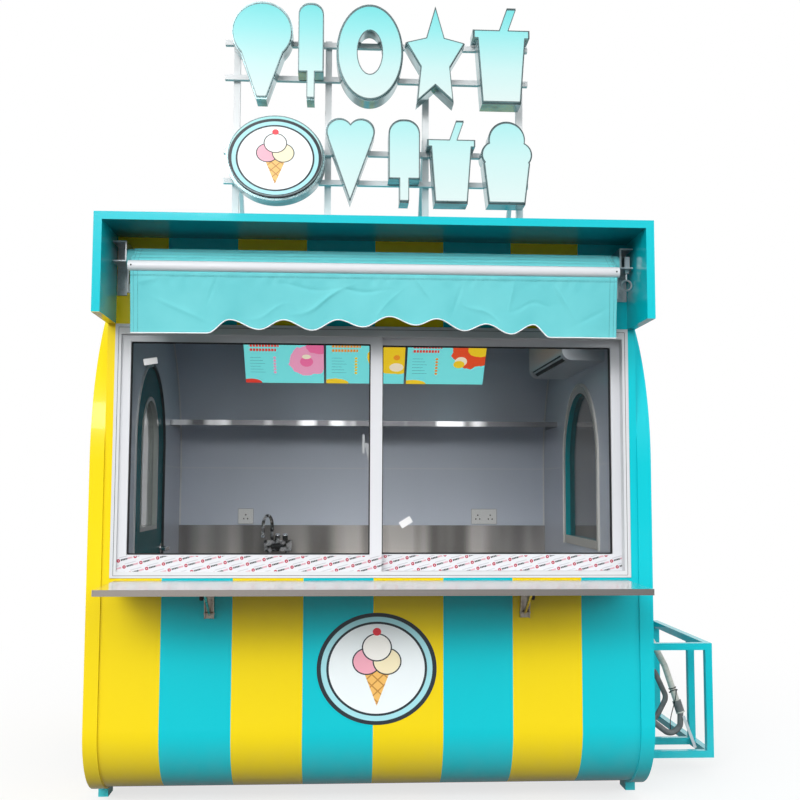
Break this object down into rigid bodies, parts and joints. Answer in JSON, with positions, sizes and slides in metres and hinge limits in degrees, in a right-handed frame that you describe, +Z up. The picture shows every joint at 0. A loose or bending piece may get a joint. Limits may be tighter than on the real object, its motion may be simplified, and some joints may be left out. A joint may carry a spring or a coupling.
{
  "type": "street kiosk",
  "caption": "Loaf-shaped street food kiosk with a hooded sliding window, fold-down counter, rolled awning, arched side door, roof sign shapes and a side cage.",
  "frame": {"origin": "middle of the whole kiosk's footprint box, at ground level", "axes": "+X along the counter, towards the cage; -Y towards the street and the customer; +Z up"},
  "size_m": [2.647, 2.387, 3.1],
  "materials": {
    "striped_skin": "glossy, painted in wide upright stripes of teal and yellow",
    "teal_paint": "glossy",
    "yellow_paint": "glossy",
    "door_teal": "satin",
    "white_frame": "satin powder coat",
    "clear_glass": "clear float glass",
    "stainless": "brushed",
    "zinc_steel": "zinc plated",
    "chrome": "polished",
    "deck_board": "matt sheet",
    "awning_cloth": "woven, with white piping",
    "bar_white": "white coated",
    "print_board": "printed sheet",
    "white_plastic": "smooth",
    "pipe_wrap": "wrapped tape",
    "hose_foam": "foam insulation",
    "sign_face": "translucent acrylic",
    "sign_metal": "mirror-polished sheet"
  },
  "bodies": {
    "kiosk": {"floor_slab": "teal_paint", "front_wall": "striped_skin", "back_wall": "striped_skin", "roof_shell": "striped_skin", "left_end_ring": "yellow_paint", "right_end_ring": "teal_paint", "floor_deck": "deck_board", "right_cheek": "teal_paint", "left_cheek": "teal_paint", "hood_roof": "teal_paint", "front_fascia": "striped_skin", "left_wall_front": "yellow_paint", "left_wall_back": "yellow_paint", "left_wall_over_door": "yellow_paint", "door_frame_trim": "door_teal", "door_hinge_fixed": "zinc_steel", "right_end_wall": "teal_paint", "side_window_frame": "door_teal", "side_window_glass": "clear_glass", "window_frame": "white_frame", "left_sash": "white_frame", "right_sash": "white_frame", "window_panes": "clear_glass", "window_latch": "white_frame", "bracket_wall_legs": "zinc_steel", "awning_front_bar": "bar_white", "awning_roll": "awning_cloth", "awning_brackets": "zinc_steel", "awning_arms": "bar_white", "awning_valance": "awning_cloth", "awning_cover": "awning_cloth", "winding_eye": "zinc_steel", "bench_top": "stainless", "bench_legs": "stainless", "sink_tap": "chrome", "wall_shelf": "stainless", "menu_boards": "print_board", "wall_sockets": "white_plastic", "air_unit_indoor": "white_plastic", "feet": "teal_paint", "cage_base": "teal_paint", "cage_top": "teal_paint", "cage_posts": "teal_paint", "air_unit_pipes": "pipe_wrap", "air_unit_hoses": "hose_foam", "sign_cans": "sign_metal", "sign_faces": "sign_face", "sign_rails": "stainless", "sign_posts": "stainless", "sign_stays": "stainless"},
    "door": {"door_leaf": "door_teal", "door_glazing_frame": "door_teal", "door_glass": "clear_glass", "door_handles": "chrome", "door_hinge_moving": "zinc_steel"},
    "counter": {"counter_top": "stainless", "counter_arms": "zinc_steel"},
    "brace_left": {"left_brace": "zinc_steel"},
    "brace_right": {"right_brace": "zinc_steel"}
  },
  "joints": [
    {"name": "door_hinge", "type": "hinge", "parent": "kiosk", "child": "door", "pos_m": [-1.2865, -0.188, 0.9], "axis": [0, 0, 1], "range_deg": [0, 110]},
    {"name": "counter_fold", "type": "hinge", "parent": "kiosk", "child": "counter", "pos_m": [-0.1825, -0.8345, 0.878], "axis": [1, 0, 0], "range_deg": [0, 90]},
    {"name": "left_brace_fold", "type": "hinge", "parent": "kiosk", "child": "brace_left", "pos_m": [-0.8125, -0.8125, 0.766], "axis": [1, 0, 0], "range_deg": [0, 121.1]},
    {"name": "right_brace_fold", "type": "hinge", "parent": "kiosk", "child": "brace_right", "pos_m": [0.4075, -0.8125, 0.766], "axis": [1, 0, 0], "range_deg": [0, 121.1]}
  ],
  "couplings": [
    {"joint": "left_brace_fold", "follows": "counter_fold", "ratio": 1.3448},
    {"joint": "right_brace_fold", "follows": "counter_fold", "ratio": 1.3448}
  ]
}
